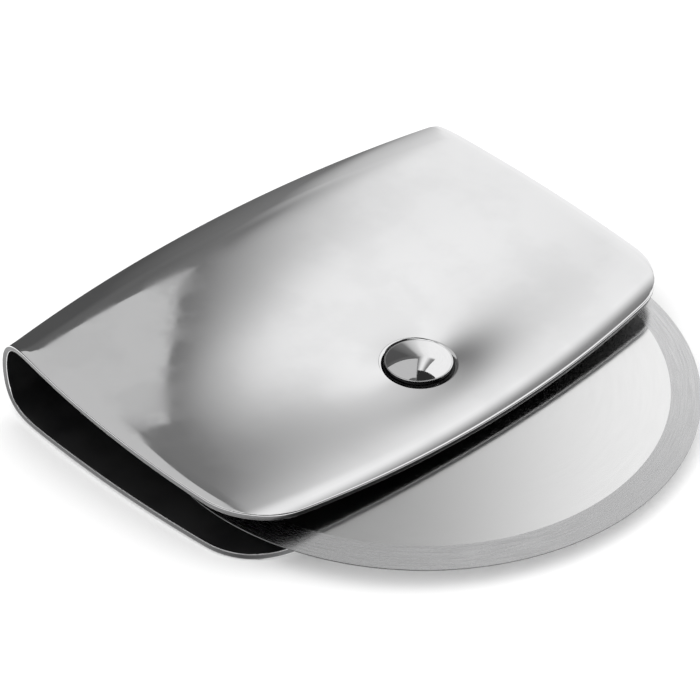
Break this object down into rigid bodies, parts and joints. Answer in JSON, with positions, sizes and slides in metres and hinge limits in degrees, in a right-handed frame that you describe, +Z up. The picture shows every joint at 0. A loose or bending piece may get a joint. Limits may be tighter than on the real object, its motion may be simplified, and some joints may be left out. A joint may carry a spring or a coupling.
{
  "type": "pizza wheel",
  "caption": "Pizza wheel whose handle is one folded, polished steel sheet, with a round bevelled blade turning freely on a domed axle between its cheeks.",
  "frame": {"origin": "on the table, under the middle of the whole wheel as it lies on its lower cheek", "axes": "+Z up from the table, +Y from the blade's cutting side towards the fold of the handle, X along the fold"},
  "size_m": [0.1076, 0.108, 0.0173],
  "materials": {
    "polished_sheet": "mirror-polished stainless outside, black inside, satin cut edges",
    "blade_steel": "polished flats, ground bevel",
    "bush_plastic": "black acetal",
    "washer_plastic": "natural nylon",
    "washer_steel": "plain rolled steel",
    "axle_steel": "turned and polished stainless"
  },
  "bodies": {
    "handle": {"handle_sheet": "polished_sheet", "axle_barrel": "axle_steel", "axle_screw": "axle_steel", "upper_thrust_washer": "washer_plastic", "lower_thrust_washer": "washer_plastic", "upper_backing_washer": "washer_steel", "lower_backing_washer": "washer_steel"},
    "blade": {"cutting_blade": "blade_steel", "hub_bush": "bush_plastic"}
  },
  "joints": [
    {"name": "blade_spin", "type": "hinge", "parent": "handle", "child": "blade", "pos_m": [0, -0.00404, 0.00573], "axis": [0, -0.0594, 0.9982], "continuous": true}
  ]
}
